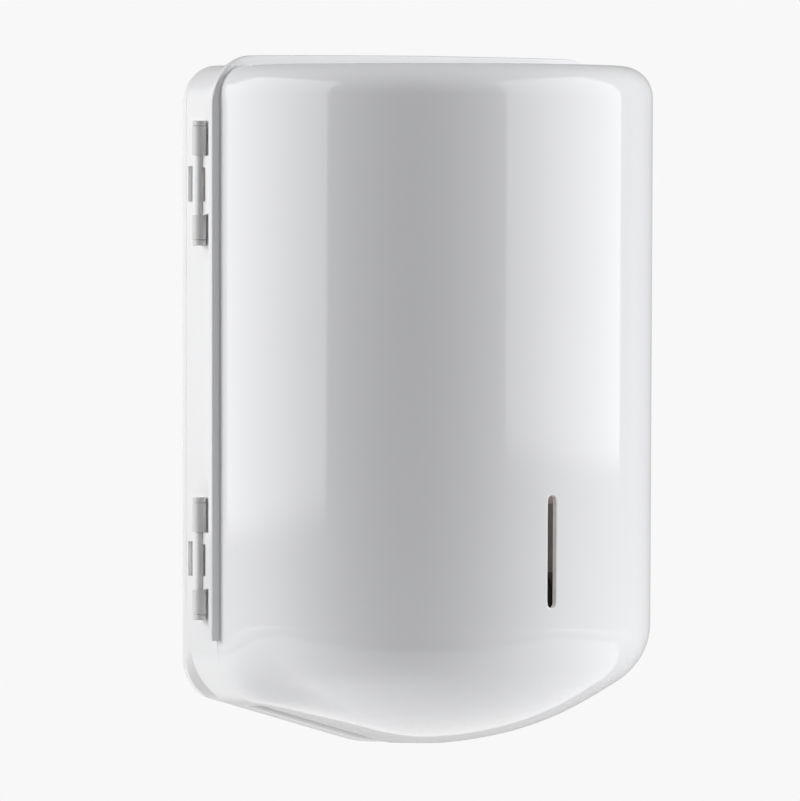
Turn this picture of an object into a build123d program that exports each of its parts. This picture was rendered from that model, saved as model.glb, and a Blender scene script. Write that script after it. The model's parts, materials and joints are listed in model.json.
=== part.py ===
from build123d import *
import math
import os

# A wall-mounted lever towel dispenser, in millimetres.  X runs to the right, Y into the wall and Z up.
# The wall is the plane Y = 0, and the origin is the centre of the four wall-screw slots.

# ---- driving dimensions -------------------------------------------------------------------------
body_half = 139.0          # half width of the housing and of the cover's shell
rim_half = 144.5           # half width over the cover's rim
body_top = 200.0           # top of the housing
cover_top = 200.0          # top of the cover's shell
rim_top = 206.5            # top of the cover's rim
body_low = -205.0          # lowest point of the housing's rounded V
cover_low = -206.0         # lowest point of the cover
v_slope = 0.25             # rise of the bottom edge for each mm outwards
chin_radius = 95.0         # rounding of the V in its middle
low_corner = 38.0          # radius where the V meets the sides
plate_corner = 25.0        # the same corner on the back plate
top_corner = 24.0          # upper corners of the housing
wall = 3.0                 # wall of every big moulding
plate_thick = 3.5          # back plate
frame_front = -36.5        # front edge of the housing
rim_front = -39.0          # front face of the cover's rim
rim_rear = -34.6           # rear edge of the rim's skirt
rim_gap = 0.8              # rim skirt to housing
lip_rear = -37.0           # rear edge of the cover's shell
rim_end = -144.2           # the rim stops here on both sides
low_run, top_run = 10.4, 13.4            # straight side before the nose, at the bowl and at the top
nose_depth = 134.5         # elliptical nose of the cover, beyond the straight side
nose_arcs = 6              # the nose is drawn as this many arcs
bowl_rise = 71.0           # height of the bowl at the cover's bottom
front_slope = 0.56         # the bowl's V at its front is steeper and rounder than at the rim
front_chin = 192.0
front_corner = 40.0
bowl_levels = (1.5, 4.0, 8.0, 13.0, 19.0, 26.0, 34.0, 43.0, 52.0, 61.0, bowl_rise)   # its sections
top_fillet = 19.0          # rounding of the cover's top edge
slit = (5.6, -123.2, -56.6)              # sight slit: width, lower end, upper end
rib_spots, rib_half, rib_rise = (-40, 0, 40), 1.2, 3.0        # stiffening ribs on the back plate
lug_levels, lug_half, lug_width, lug_rear = (-150, 0, 170), 9.0, 12.0, -9.5    # screw lugs of the housing
self_tap = 1.6                           # bore for a 3 mm screw

hinge_x, hinge_y = -143.5, -24.0         # axis of the cover's hinge
pin_radius, head_radius = 2.0, 3.4
knuckle_radius, barrel_radius = 4.2, 3.2  # the housing's knuckles and the cover's barrels
arm_play = 0.4                           # end gap between a knuckle and the cover's barrel
running = 0.05                           # radial clearance of pins and shafts
hinges = {"upper": (92.2, 166.6), "lower": (-131.0, -57.8)}   # lower and upper end of each hinge pin
hinge_slots = [(118.6, 139.6), (-104.6, -84.2)]
slot_front, slot_rear = -10.2, -6.0       # the moulding slots beside the hinges
exit_half, exit_front, exit_rear = 102.0, -30.0, -12.5    # opening in the bottom
guide_top = (-62.0, -138.0)              # upper edge of the exit guide
guide_half, guide_wall = 105.9, 2.0
blade_half, blade_top, blade_low, blade_tip, blade_pitch = 102.0, -161.0, -172.0, -175.5, 4.0
blade_screw_z, blade_screw_spots = -166.0, (-80, 0, 80)

screw_x, screw_z = 70.0, 110.0           # wall-screw slots, from the origin
slot_radius, slot_length = 2.75, 12.0

roll_y, roll_z = -74.0, 104.0            # axis of the towel roll
core_radius = 18.5                       # the hubs fill a core of about 38 mm
stub_radius = 5.0                        # stub on each arm that its hub turns on
arm_x, arm_y = 108.0, -14.0              # pivot of the right roll arm
bracket_x = 106.0                        # inner face of the right mechanism bracket
feed_y, feed_z = -68.5, -118.0           # axis of the feed roller
feed_radius, pinch_radius = 15.0, 8.0
roller_half = 95.0
shaft_radius = 4.0
relief_spots, relief_half = range(-72, 73, 36), 1.5   # grooves between the rollers' rubber bands
axle_radius = 2.5                        # pinch roller's axle, pivots and tie bar
nip_gap = 0.3
nip_angle = -25.0                        # from the feed roller's axis to the pinch roller's
pivot_y, pivot_z = -32.5, -122.0         # pivot of the pinch arms

gear_module = 1.25
sector_teeth, pinion_teeth = 60, 15
pressure = math.radians(25)
guide_screw = (-47.0, -158.0)            # fixes the exit guide to each bracket
mesh_angle = 200.0                       # from the lever's axis to the pinion's
gear_left, gear_right = 111.5, 117.5
lever_radius, lever_bore = 5.0, 7.0
lever_reach = 112.0
lever_left = 146.0                       # inner face of the lever's arm

lock_y, lock_z = -52.0, 40.0
lock_radius, lock_flange, barrel_lock = 7.5, 10.0, 4.5
hub_gap = 0.1                            # radial fit of the lock in the cover
keeper_screw_y = -30.5

os.makedirs("parts", exist_ok=True)


# ---- small helpers ------------------------------------------------------------------------------
def block(x0, x1, y0, y1, z0, z1):
    """A box between two corners."""
    return Pos((x0 + x1) / 2, (y0 + y1) / 2, (z0 + z1) / 2) * Box(abs(x1 - x0), abs(y1 - y0), abs(z1 - z0))


def rod_x(x0, x1, y, z, radius):
    """A round bar along X."""
    return Pos((x0 + x1) / 2, y, z) * Rot(0, 90, 0) * Cylinder(radius, abs(x1 - x0))


def rod_y(x, y0, y1, z, radius):
    """A round bar along Y."""
    return Pos(x, (y0 + y1) / 2, z) * Rot(90, 0, 0) * Cylinder(radius, abs(y1 - y0))


def rod_z(x, y, z0, z1, radius):
    """A round bar along Z."""
    return Pos(x, y, (z0 + z1) / 2) * Cylinder(radius, abs(z1 - z0))


def plate_x(points, x0, x1):
    """A flat plate cut to an outline in Y and Z, from x0 to x1."""
    face = make_face(Polyline(*points, close=True))
    return extrude(Plane.YZ.offset(x0) * face, x1 - x0)


def slab_y(sketch, y0, y1):
    """A sketch in X and Z carried from the plane y0 forward to the plane y1."""
    return extrude(Plane.XZ.offset(-y0) * sketch, y0 - y1)


def coil_x(x0, x1, y, z, radius, wire, turns):
    """A spring wound about an axis along X."""
    path = Helix(pitch=(x1 - x0) / turns, height=x1 - x0, radius=radius)
    start = Plane(origin=path @ 0, z_dir=path % 0)
    spring = sweep(start * Circle(wire / 2), path=path, is_frenet=True)
    return Pos(x0, y, z) * Rot(0, 90, 0) * spring


def flip(part):
    """The left-hand copy of a right-hand part."""
    return mirror(part, about=Plane.YZ)


def body_outline(half, top, low, upper_radius, lower_radius, grow=0.0):
    """The dispenser's front outline: square top with round corners, and a rounded V at the bottom."""
    lean = math.atan(v_slope)
    chin = chin_radius + grow
    tip = low - chin * (1 / math.cos(lean) - 1)
    shoulder = tip + v_slope * half
    corners = [(0, tip), (half, shoulder), (half, top), (-half, top), (-half, shoulder)]
    shape = Sketch() + make_face(Polyline(*corners, close=True))
    for corner, radius in zip(corners, [chin, lower_radius, upper_radius, upper_radius, lower_radius]):
        spot = shape.vertices().sort_by_distance((corner[0], corner[1], 0))[0]
        shape = fillet(spot, radius)
    return shape


# ---- housing ------------------------------------------------------------------------------------
def make_back_plate():
    plate = slab_y(body_outline(body_half, body_top, body_low, top_corner, plate_corner), 0, -plate_thick)
    for x in (-screw_x, screw_x):
        for z in (-screw_z, screw_z):
            hole = Pos(x, z) * SlotOverall(slot_length, 2 * slot_radius)
            plate -= slab_y(hole, 1, -plate_thick - 1)
    for x in rib_spots:                                      # behind the roll
        plate += block(x - rib_half, x + rib_half, -plate_thick - rib_rise, -plate_thick, -150, 170)
    return plate


def hinge_knuckle_spans(low, high):
    """Heights of the two housing knuckles on one hinge, inside the pin's heads."""
    return (low + 3.6, low + 18.2), (high - 20.6, high - 3.4)


def make_rear_frame():
    inner = body_outline(body_half - wall, body_top - wall, body_low + wall,
                         top_corner - wall, low_corner - wall, -wall)
    outer = body_outline(body_half, body_top, body_low, top_corner, low_corner)
    frame = slab_y(outer, -plate_thick, frame_front) - slab_y(inner, -plate_thick, frame_front)
    # the towel comes out through the bottom wall
    frame -= block(-exit_half, exit_half, exit_front, exit_rear, body_low - 5, -160)
    # a flange inside the walls takes the screws from the back plate
    for x in (-1, 1):
        for z in lug_levels:
            lug = block(x * (body_half - wall - lug_width), x * (body_half - 1), -plate_thick, lug_rear,
                        z - lug_half, z + lug_half)
            frame += lug - rod_y(x * (body_half - wall - lug_width / 2), 0, -20, z, self_tap)
    # hinge knuckles and the moulding slots beside them
    for low, high in hinges.values():
        for z0, z1 in hinge_knuckle_spans(low, high):
            frame += rod_z(hinge_x, hinge_y, z0, z1, knuckle_radius)
            frame += block(hinge_x, -body_half + 1, hinge_y - 3, hinge_y + 3, z0, z1)
        frame -= rod_z(hinge_x, hinge_y, low - 1, high + 1, pin_radius + running)
    for z0, z1 in hinge_slots:
        frame -= block(-body_half - 1, -body_half + wall + 1, slot_front, slot_rear, z0, z1)
    # bore for the lever's bush
    frame -= rod_x(body_half - wall - 1, body_half + 1, lever_y, lever_z, lever_bore)
    return frame


def make_hinge_pin(low, high):
    pin = rod_z(hinge_x, hinge_y, low, high, pin_radius)
    pin += rod_z(hinge_x, hinge_y, low, low + 3.5, head_radius)
    pin += rod_z(hinge_x, hinge_y, high - 3.3, high, head_radius)
    return pin


# ---- front cover --------------------------------------------------------------------------------
def bowl_half_width(height, slope, chin, corner):
    """Half width of a rounded V at a height above its lowest point."""
    lean = math.atan(slope)
    tip_drop = chin * (1 / math.cos(lean) - 1)
    if height <= chin * (1 - math.cos(lean)):
        return math.sqrt(2 * chin * height - height ** 2)
    centre_x = body_half - corner
    centre_z = slope * centre_x - tip_drop + corner / math.cos(lean)
    if height <= centre_z - corner * math.cos(lean):
        return (height + tip_drop) / slope
    if height >= centre_z:
        return body_half
    return centre_x + math.sqrt(corner ** 2 - (centre_z - height) ** 2)


def plan_wire(rear_half, front_half, run, nose, rear):
    """The cover's plan at one height: flat rear edge, straight sides and an elliptical nose."""
    front = rim_front - run
    left = Line((-rear_half, rear), (-front_half, front))
    step = 180 / nose_arcs
    arcs = [EllipticalCenterArc((0, front), front_half, nose, start_angle=180 + k * step, arc_size=step)
            for k in range(nose_arcs)]
    right = Line((front_half, front), (rear_half, rear))
    back = Line((rear_half, rear), (-rear_half, rear))
    return Wire([left, *arcs, right, back])


def cover_solid(inset, rear):
    """The cover's full form, shrunk by an inset: tapered prism, rounded top and lofted bowl."""
    half, nose = body_half - inset, nose_depth - inset
    shoulder = cover_low + bowl_rise
    ends = [Pos(0, 0, z) * make_face(plan_wire(half, half, run, nose, rear))
            for z, run in ((shoulder, low_run), (cover_top - inset, top_run))]
    upper = loft(ends, ruled=True)
    crown = upper.faces().sort_by(Axis.Z)[-1].edges()
    rear_edge = crown.sort_by(Axis.Y)[-1]
    upper = fillet([e for e in crown if e != rear_edge], top_fillet - inset)
    rings = []
    for height in bowl_levels:
        fall = 1 - height / bowl_rise
        share = math.sqrt(1 - fall ** 2)
        low_inset = inset * (1 - fall)
        rear_half = bowl_half_width(height, v_slope, chin_radius, low_corner) - inset
        front_half = bowl_half_width(height, front_slope, front_chin, front_corner) - inset
        ring = plan_wire(rear_half, front_half, low_run * share, nose_depth * share - low_inset, rear)
        rings.append(Pos(0, 0, cover_low + height + inset * fall) * make_face(ring))
    return upper + loft(rings, ruled=True)


def make_front_cover():
    cover = cover_solid(0.0, lip_rear) - cover_solid(wall, lip_rear + 1)
    # the rim: a web at its front and a skirt that laps over the housing
    inside = body_outline(body_half - wall, cover_top - wall, body_low + wall, top_fillet,
                          low_corner - wall, -wall)
    outside = body_outline(rim_half, rim_top, body_low - 5, top_corner + 6, low_corner)
    lap = body_outline(body_half + rim_gap, body_top + rim_gap, body_low - rim_gap, top_corner + rim_gap,
                       low_corner)
    rim = slab_y(outside, lip_rear, rim_front) - slab_y(inside, lip_rear + 1, rim_front - 1)
    rim += slab_y(outside, rim_rear, lip_rear) - slab_y(lap, rim_rear + 1, lip_rear)
    rim -= block(-200, 200, -60, -20, body_low - 20, rim_end)
    cover += rim
    # hinge arms with a barrel on each pin
    for low, high in hinges.values():
        (_, z0), (z1, _) = hinge_knuckle_spans(low, high)
        z0, z1 = z0 + arm_play, z1 - arm_play
        arm = block(-rim_half, hinge_x + 0.2, hinge_y, lip_rear, z0, z1)
        arm += rod_z(hinge_x, hinge_y, z0, z1, barrel_radius)
        middle = (z0 + z1) / 2
        arm -= block(-rim_half - 1, hinge_x + 3, hinge_y - 12, hinge_y - 4.5, middle - 10, middle + 10)
        cover += arm - rod_z(hinge_x, hinge_y, low, high, pin_radius + running)
    width, low, high = slit
    window = Pos(0, (low + high) / 2) * SlotOverall(high - low, width, rotation=90)
    nose_tip = rim_front - top_run - nose_depth
    cover -= slab_y(window, nose_tip + 14, nose_tip - 5)
    cover -= rod_x(body_half - wall - 4, body_half + 2, lock_y, lock_z, lock_radius + hub_gap)
    cover -= rod_x(body_half - 0.8, body_half + 2, lock_y, lock_z, lock_flange + 2 * hub_gap)
    return cover


# ---- lock ---------------------------------------------------------------------------------------
def make_lock_housing():
    body = rod_x(body_half - 21, body_half, lock_y, lock_z, lock_radius)
    body += rod_x(body_half - 0.75, body_half + 1.6, lock_y, lock_z, lock_flange)
    return body - rod_x(body_half - 30, body_half + 5, lock_y, lock_z, barrel_lock + running)


def make_lock_barrel():
    barrel = rod_x(body_half - 24.8, body_half + 2, lock_y, lock_z, barrel_lock)
    return barrel - block(body_half, body_half + 3, lock_y - 0.7, lock_y + 0.7, lock_z - 3, lock_z + 3)


def make_lock_cam():
    left, right = body_half - 24.5, body_half - 22
    cam = block(left, right, lock_y, lock_y + 18, lock_z - 4.5, lock_z + 4.5)
    cam += rod_x(left, right, lock_y + 18, lock_z, 4.5) + rod_x(left, right, lock_y, lock_z, 7)
    return cam - rod_x(left - 1, right + 1, lock_y, lock_z, barrel_lock)


def make_lock_nut():
    middle = body_half - 7.0
    nut = Pos(middle, lock_y, lock_z) * Rot(0, 90, 0) * extrude(RegularPolygon(11, 6), 1.9, both=True)
    return nut - rod_x(middle - 5, middle + 5, lock_y, lock_z, lock_radius)


def make_lock_keeper():
    low, high = lock_z + 10, lock_z + 24
    left, right = body_half - 15, body_half - 12
    hook = lock_y - 6
    keeper = block(left, body_half - wall, frame_front + 0.5, -24, low, high)
    keeper += block(left, right, hook - 3, frame_front + 0.5, low, high)
    keeper += block(body_half - 27, right, hook - 3, hook, low, high)
    for z in (low + 4, high - 4):
        keeper -= rod_x(left - 1, body_half, keeper_screw_y, z, 1.5)
    return keeper


# ---- roll holder --------------------------------------------------------------------------------
def make_roll_bracket():
    bracket = block(98, 118, -plate_thick - 3, -plate_thick, 78, 130)
    for z0 in (82, 122):
        bracket += block(102, 114, -20, -plate_thick - 3, z0, z0 + 4)
    bracket -= rod_z(arm_x, arm_y, 70, 140, pin_radius + running)
    for z in (90, 118):
        bracket -= rod_y(102.5, -10, 0, z, self_tap)
    return bracket


def make_arm_pin():
    return rod_z(arm_x, arm_y, 80, 128, pin_radius) + rod_z(arm_x, arm_y, 126.2, 128.2, 3.5)


def make_roll_arm():
    inner, outer = arm_x - 2, arm_x + 2
    root = [(arm_y - 3, 121), (arm_y - 3, 100), (roll_y, roll_z - 13), (roll_y, roll_z + 13)]
    arm = plate_x(root, inner, outer) + rod_x(inner, outer, roll_y, roll_z, 14)
    arm += rod_z(arm_x, arm_y, 100, 121, 5)
    arm += block(inner, outer, arm_y - 6, arm_y, 100, 121)
    arm += rod_x(91, inner, roll_y, roll_z, stub_radius)
    arm -= rod_x(80, 93, roll_y, roll_z, 1.2)
    arm -= rod_z(arm_x, arm_y, 70, 140, pin_radius + running)
    return arm


def make_roll_hub():
    hub = rod_x(101.5, 105.3, roll_y, roll_z, 24)
    hub += Pos(97, roll_y, roll_z) * Rot(0, 90, 0) * Cone(15, core_radius, 9.1)
    hub -= rod_x(90, 96.5, roll_y, roll_z, 12)
    hub -= rod_x(80, 110, roll_y, roll_z, stub_radius + running)
    for turn in range(6):                                   # grip ribs that bite the roll's core
        rib = block(93, 101.6, -0.8, 0.8, 14, 19.2)
        hub += Pos(0, roll_y, roll_z) * Rot(60 * turn, 0, 0) * rib
    return hub


def make_hub_clip():
    return rod_x(89.8, 91, roll_y, roll_z, 7) + rod_x(91, 92.8, roll_y, roll_z, 1.2)


def make_arm_spring():
    spring = coil_x(0, 11.6, 0, 0, 3.8, 1.2, 7)
    return Pos(arm_x, arm_y, 87.2) * Rot(0, -90, 0) * spring


# ---- feed mechanism -----------------------------------------------------------------------------
centre_distance = gear_module * (sector_teeth + pinion_teeth) / 2
lever_y = feed_y - centre_distance * math.cos(math.radians(mesh_angle))
lever_z = feed_z - centre_distance * math.sin(math.radians(mesh_angle))
axle_distance = feed_radius + pinch_radius + nip_gap
pinch_y = feed_y + axle_distance * math.cos(math.radians(nip_angle))
pinch_z = feed_z + axle_distance * math.sin(math.radians(nip_angle))


def make_mech_bracket():
    outline = [(-plate_thick, -62), (-40, -62), (-56, -92), (-88, -100), (-88, -132), (-62, -168),
               (-31, -168), (-20, -152), (-plate_thick, -152)]
    plate = plate_x(outline, bracket_x, bracket_x + 3)
    plate += block(92, bracket_x + 3, -plate_thick - 3, -plate_thick, -152, -62)
    plate -= rod_x(100, 115, feed_y, feed_z, 6)
    plate -= rod_x(100, 115, lever_y, lever_z, lever_radius + running)
    plate -= rod_x(100, 115, pivot_y, pivot_z, axle_radius)
    plate -= rod_x(100, 115, *guide_screw, self_tap)
    for z in (-140, -74):
        plate -= rod_y(98, -10, 0, z, self_tap)
    return plate


def make_shaft_bush():
    bush = rod_x(104, 109.8, feed_y, feed_z, 6) + rod_x(104, bracket_x, feed_y, feed_z, 8.5)
    return bush - rod_x(100, 115, feed_y, feed_z, shaft_radius + running)


def make_feed_shaft():
    shaft = rod_x(-112.5, 119.6, feed_y, feed_z, shaft_radius)
    for x in (-111.4, 118.4):
        shaft -= rod_x(x, x + 0.9, feed_y, feed_z, 6) - rod_x(x, x + 0.9, feed_y, feed_z, 3)
    return shaft


def make_feed_roller():
    roller = rod_x(-roller_half, roller_half, feed_y, feed_z, feed_radius)
    for x in relief_spots:
        left, right = x - relief_half, x + relief_half
        groove = rod_x(left, right, feed_y, feed_z, feed_radius + 5)
        roller -= groove - rod_x(left, right, feed_y, feed_z, feed_radius - 1.4)
    return roller - rod_x(-100, 100, feed_y, feed_z, shaft_radius)


def make_shaft_clips():
    clips = []
    for x in (-111.3, 118.5):
        ring = rod_x(x, x + 0.7, feed_y, feed_z, 5.6) - rod_x(x - 1, x + 2, feed_y, feed_z, 3)
        clips.append(ring - block(x - 1, x + 2, feed_y - 1.6, feed_y + 1.6, feed_z - 7, feed_z))
    return Compound(clips)


def tooth_points(teeth, centre_angle):
    """One tooth: involute flanks on the base circle, from root to tip, around its centre angle."""
    pitch = gear_module * teeth / 2
    base = pitch * math.cos(pressure)
    tip = pitch + 0.9 * gear_module
    root = pitch - 1.15 * gear_module
    slack = 0.07                                            # half of the backlash on each flank
    half_tooth = math.pi / (2 * teeth) - slack / pitch
    rolled = math.tan(pressure) - pressure
    flank = []
    for step in range(5):
        radius = max(base, root) + (tip - max(base, root)) * step / 4
        press = math.acos(min(1.0, base / radius))
        flank.append((radius, half_tooth + rolled - (math.tan(press) - press)))
    flank.insert(0, (root, flank[0][1] + 0.1 / pitch))
    angles = [(r, centre_angle - a) for r, a in flank]
    angles += [(r, centre_angle + a) for r, a in reversed(flank)]
    return [(r * math.cos(a), r * math.sin(a)) for r, a in angles]


def make_pinion():
    pitch = 2 * math.pi / pinion_teeth
    first = math.radians(mesh_angle - 180) + pitch / 2
    points = []
    for tooth in range(pinion_teeth):
        points += tooth_points(pinion_teeth, first + tooth * pitch)
    face = make_face(Polyline(*points, close=True)) - Circle(6)
    return Pos(gear_left, feed_y, feed_z) * extrude(Plane.YZ * face, gear_right - gear_left)


def make_sector_gear():
    pitch = 2 * math.pi / sector_teeth
    first = math.radians(mesh_angle) - 14 * pitch
    points = [(0, 0)]
    for tooth in range(16):
        points += tooth_points(sector_teeth, first + tooth * pitch)
    face = make_face(Polyline(*points, close=True)) + Circle(11)
    for angle in (-62, -32, -5):                            # lightening holes
        spot = math.radians(mesh_angle + angle)
        face -= Pos(23 * math.cos(spot), 23 * math.sin(spot)) * Circle(5)
    face -= Circle(lever_radius)
    return Pos(gear_left, lever_y, lever_z) * extrude(Plane.YZ * face, gear_right - gear_left)


def make_clutch():
    ring = rod_x(111, 118, feed_y, feed_z, 6)
    return ring - rod_x(105, 125, feed_y, feed_z, shaft_radius)


def make_pinch_arm():
    outline = [(pivot_y + 5, pivot_z), (pivot_y - 5, pivot_z + 4), (pinch_y - 4, pinch_z + 4),
               (pinch_y - 2, pinch_z - 5), (pinch_y + 4, pinch_z - 4), (pivot_y + 4, pivot_z - 4)]
    arm = plate_x(outline, 99.5, 102.5)
    arm += rod_x(99.5, 102.5, pivot_y, pivot_z, 5.5) + rod_x(99.5, 102.5, pinch_y, pinch_z, 5)
    arm -= rod_x(95, 105, pivot_y, pivot_z, axle_radius + running)
    return arm - rod_x(95, 105, pinch_y, pinch_z, axle_radius + running)


def make_tie_bar():
    return rod_x(-99.6, 99.6, pivot_y + 2, pivot_z - 12, axle_radius)


def make_pinch_axle():
    return rod_x(-103.2, 103.2, pinch_y, pinch_z, axle_radius)


def make_pinch_roller():
    roller = rod_x(-94, 94, pinch_y, pinch_z, pinch_radius)
    for x in relief_spots:
        left, right = x - relief_half, x + relief_half
        groove = rod_x(left, right, pinch_y, pinch_z, pinch_radius + 5)
        roller -= groove - rod_x(left, right, pinch_y, pinch_z, pinch_radius - 1)
    return roller - rod_x(-100, 100, pinch_y, pinch_z, axle_radius)


def make_pinch_pivots():
    pin = rod_x(98.4, bracket_x + 3.6, pivot_y, pivot_z, axle_radius)
    pin += rod_x(98.0, 99.2, pivot_y, pivot_z, axle_radius + 1.5)
    return Compound([pin, flip(pin)])


def make_pinch_spring():
    return coil_x(102.9, 105.6, pivot_y, pivot_z, 3.9, 0.9, 2)


# ---- lever --------------------------------------------------------------------------------------
def make_lever_bush():
    bush = rod_x(body_half - wall - 1.5, body_half + 0.1, lever_y, lever_z, lever_bore)
    bush += rod_x(body_half, body_half + 1.8, lever_y, lever_z, 9)
    return bush - rod_x(120, 150, lever_y, lever_z, lever_radius + running)


def make_lever_shaft():
    shaft = rod_x(105.2, lever_left - 0.5, lever_y, lever_z, lever_radius)
    return shaft - rod_x(128, 150, lever_y, lever_z, 1.6)


def make_lever_arm():
    tip_z = lever_z + lever_reach
    arm = plate_x([(lever_y + 8.5, lever_z), (lever_y + 5.5, tip_z), (lever_y - 5.5, tip_z),
                   (lever_y - 8.5, lever_z)], lever_left, lever_left + 4.5)
    arm += rod_x(lever_left, lever_left + 4.5, lever_y, tip_z, 5.5)
    arm += rod_x(body_half + 2.2, lever_left + 4.5, lever_y, lever_z, 8.8)
    arm -= rod_x(120, lever_left - 0.5, lever_y, lever_z, lever_radius)
    return arm - rod_x(120, 155, lever_y, lever_z, 1.7)


def make_lever_grip():
    tip_z = lever_z + lever_reach
    grip = block(lever_left - 0.9, lever_left + 22, lever_y - 9, lever_y + 9, tip_z - 12, tip_z + 12)
    grip = fillet(grip.edges(), 1.4)
    slot = block(120, lever_left + 4.5, lever_y - 5.5, lever_y + 5.5, tip_z - 20, tip_z)
    slot += rod_x(120, lever_left + 4.5, lever_y, tip_z, 5.5)
    slot += plate_x([(lever_y + 6.1, tip_z - 13), (lever_y + 5.5, tip_z), (lever_y - 5.5, tip_z),
                     (lever_y - 6.1, tip_z - 13)], 120, lever_left + 4.5)
    return grip - slot


def make_lever_screw():
    head = lever_left + 4.55
    return rod_x(129, head + 0.1, lever_y, lever_z, 1.6) + rod_x(head, head + 2.3, lever_y, lever_z, 4.5)


def make_lever_spring():
    return coil_x(gear_right + 2, body_half - wall - 3, lever_y, lever_z, 6.6, 1.3, 6)


def make_lever_stop():
    spot = math.radians(mesh_angle - 98)
    y, z = lever_y + 30 * math.cos(spot), lever_z + 30 * math.sin(spot)
    return rod_x(bracket_x + 3, gear_right - 0.5, y, z, 4)


# ---- towel exit ---------------------------------------------------------------------------------
def make_exit_guide():
    lip = exit_front - 1.5
    centre = [guide_top, (lip - 9.5, -151), (lip - 2, -160), (lip, -171)]
    path = FilletPolyline(*centre, radius=8)
    band = make_face(offset(path, guide_wall / 2, side=Side.BOTH))
    guide = extrude(Plane.YZ.offset(-guide_half) * band, 2 * guide_half)
    y, z = guide_screw
    for side in (-1, 1):
        tab = block(side * (guide_half - 6), side * guide_half, y - 6, y + 8, z - 6, z + 6)
        guide += tab - rod_x(side * 98, side * 107, y, z, 1.5)
    for x in blade_screw_spots:
        guide -= rod_y(x, lip - 10, exit_front + 4, blade_screw_z, 1.3)
    return guide


def make_tear_blade():
    rear, front = exit_front + 0.3, exit_front - 0.5
    blade = block(-blade_half, blade_half, front, rear, blade_low, blade_top)
    points = [(-blade_half, blade_low)]
    for tooth in range(round(2 * blade_half / blade_pitch)):
        left = -blade_half + tooth * blade_pitch
        points += [(left + blade_pitch / 2, blade_tip), (left + blade_pitch, blade_low)]
    points += [(blade_half, blade_low + 0.5), (-blade_half, blade_low + 0.5)]
    blade += slab_y(make_face(Polyline(*points, close=True)), rear, front)
    for x in blade_screw_spots:
        blade -= rod_y(x, front - 5, rear + 5, blade_screw_z, self_tap)
    return blade


# ---- fasteners ----------------------------------------------------------------------------------
def screw_y(x, z, head_y, tip_y, radius=1.5):
    """A pan-head screw driven along Y; the head sits on the side of head_y."""
    way = 1 if head_y > tip_y else -1
    return rod_y(x, head_y, tip_y, z, radius) + rod_y(x, head_y, head_y + 1.8 * way, z, 2.9)


def screw_x_axis(y, z, head_x, tip_x, radius=1.4):
    """A pan-head screw driven along X; the head sits on the side of head_x."""
    way = 1 if head_x > tip_x else -1
    return rod_x(head_x, tip_x, y, z, radius) + rod_x(head_x, head_x + 1.8 * way, y, z, 2.8)


def make_bracket_screws():
    x, head = 98, -plate_thick - 3.05
    return Compound([screw_y(side * x, z, head, -plate_thick) for side in (-1, 1) for z in (-140, -74)])


def make_holder_screws():
    x, head = 102.5, -plate_thick - 3.05
    return Compound([screw_y(side * x, z, head, -plate_thick) for side in (-1, 1) for z in (90, 118)])


def make_frame_screws():
    x = body_half - wall - lug_width / 2
    head = lug_rear - 0.05
    return Compound([screw_y(side * x, z, head, -plate_thick) for side in (-1, 1) for z in lug_levels])


def make_blade_screws():
    head, tip = exit_front + 0.35, exit_front - 3.4
    return Compound([screw_y(x, blade_screw_z, head, tip, 1.25) for x in blade_screw_spots])


def make_guide_screws():
    head = bracket_x + 3.05
    return Compound([screw_x_axis(*guide_screw, side * head, side * 100.5) for side in (-1, 1)])


def make_keeper_screws():
    head, tip = body_half - 15.1, body_half - wall - 0.1
    return Compound([screw_x_axis(keeper_screw_y, lock_z + rise, head, tip) for rise in (14, 20)])


# ---- the assembly -------------------------------------------------------------------------------
parts = {
    "back_plate": make_back_plate(),
    "rear_frame": make_rear_frame(),
    "front_cover": make_front_cover(),
    "hinge_pin_upper": make_hinge_pin(*hinges["upper"]),
    "hinge_pin_lower": make_hinge_pin(*hinges["lower"]),
    "lock_housing": make_lock_housing(),
    "lock_barrel": make_lock_barrel(),
    "lock_cam": make_lock_cam(),
    "lock_nut": make_lock_nut(),
    "lock_keeper": make_lock_keeper(),
    "feed_shaft": make_feed_shaft(),
    "feed_roller": make_feed_roller(),
    "shaft_clips": make_shaft_clips(),
    "drive_pinion": make_pinion(),
    "one_way_clutch": make_clutch(),
    "pinch_axle": make_pinch_axle(),
    "pinch_roller": make_pinch_roller(),
    "pinch_tie_bar": make_tie_bar(),
    "pinch_pivots": make_pinch_pivots(),
    "sector_gear": make_sector_gear(),
    "lever_shaft": make_lever_shaft(),
    "lever_arm": make_lever_arm(),
    "lever_grip": make_lever_grip(),
    "lever_screw": make_lever_screw(),
    "lever_bush": make_lever_bush(),
    "lever_spring": make_lever_spring(),
    "lever_stop": make_lever_stop(),
    "exit_guide": make_exit_guide(),
    "tear_blade": make_tear_blade(),
    "bracket_screws": make_bracket_screws(),
    "holder_screws": make_holder_screws(),
    "frame_screws": make_frame_screws(),
    "blade_screws": make_blade_screws(),
    "guide_screws": make_guide_screws(),
    "keeper_screws": make_keeper_screws(),
}
pairs = {
    "roll_bracket": make_roll_bracket(),
    "roll_arm": make_roll_arm(),
    "roll_hub": make_roll_hub(),
    "hub_clip": make_hub_clip(),
    "arm_pin": make_arm_pin(),
    "arm_spring": make_arm_spring(),
    "mech_bracket": make_mech_bracket(),
    "shaft_bush": make_shaft_bush(),
    "pinch_arm": make_pinch_arm(),
    "pinch_spring": make_pinch_spring(),
}
for name, right in pairs.items():
    parts[name + "_right"] = right
    parts[name + "_left"] = flip(right)

for name, part in parts.items():
    export_step(part, "parts/" + name + ".step")
    box = part.bounding_box()
    print(f"{name:20s} {part.volume / 1000:9.2f} cm3  x {box.min.X:7.1f} {box.max.X:7.1f}"
          f"  y {box.min.Y:7.1f} {box.max.Y:7.1f}  z {box.min.Z:7.1f} {box.max.Z:7.1f}")
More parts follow.
